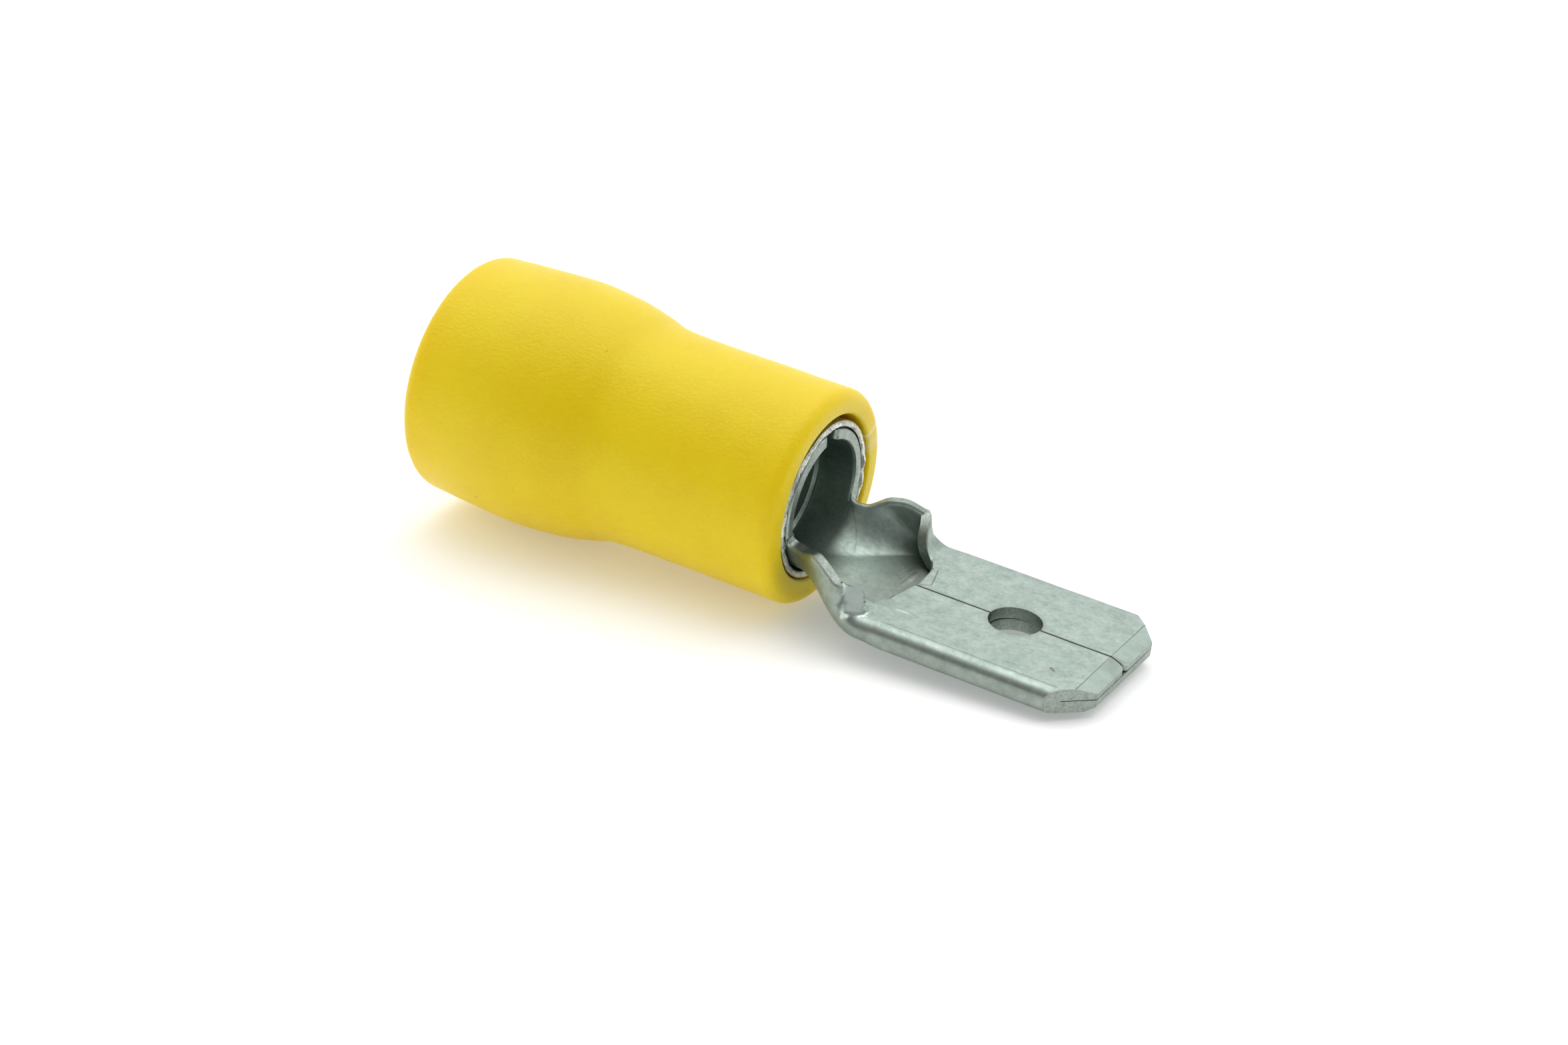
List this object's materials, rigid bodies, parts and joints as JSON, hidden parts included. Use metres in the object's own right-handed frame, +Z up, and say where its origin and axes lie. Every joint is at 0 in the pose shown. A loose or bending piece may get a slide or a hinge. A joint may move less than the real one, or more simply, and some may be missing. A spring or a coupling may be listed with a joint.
{
  "type": "insulated male tab terminal",
  "caption": "Crimp terminal with a folded flat male tab, an open trough neck, a rolled wire barrel in a thin metal sleeve, and a stepped yellow insulating sleeve over both.",
  "frame": {"origin": "middle of the footprint on the surface that the terminal lies on", "axes": "+X along the terminal towards the tab's tip, which dips 3.8 degrees; +Z up, on the side of the two folded leaves and the barrel's seam"},
  "size_m": [0.024, 0.0082, 0.0083],
  "materials": {
    "yellow_pvc": "moulded PVC with a fine matte grain",
    "tinned_copper": "thin tin plating, rough on the sheared front edge",
    "tinned_brass": "satin tin plating with fine lengthwise scratches"
  },
  "bodies": {
    "root": {"insulating_sleeve": "yellow_pvc", "support_sleeve": "tinned_copper", "tab_terminal": "tinned_brass"}
  },
  "joints": []
}
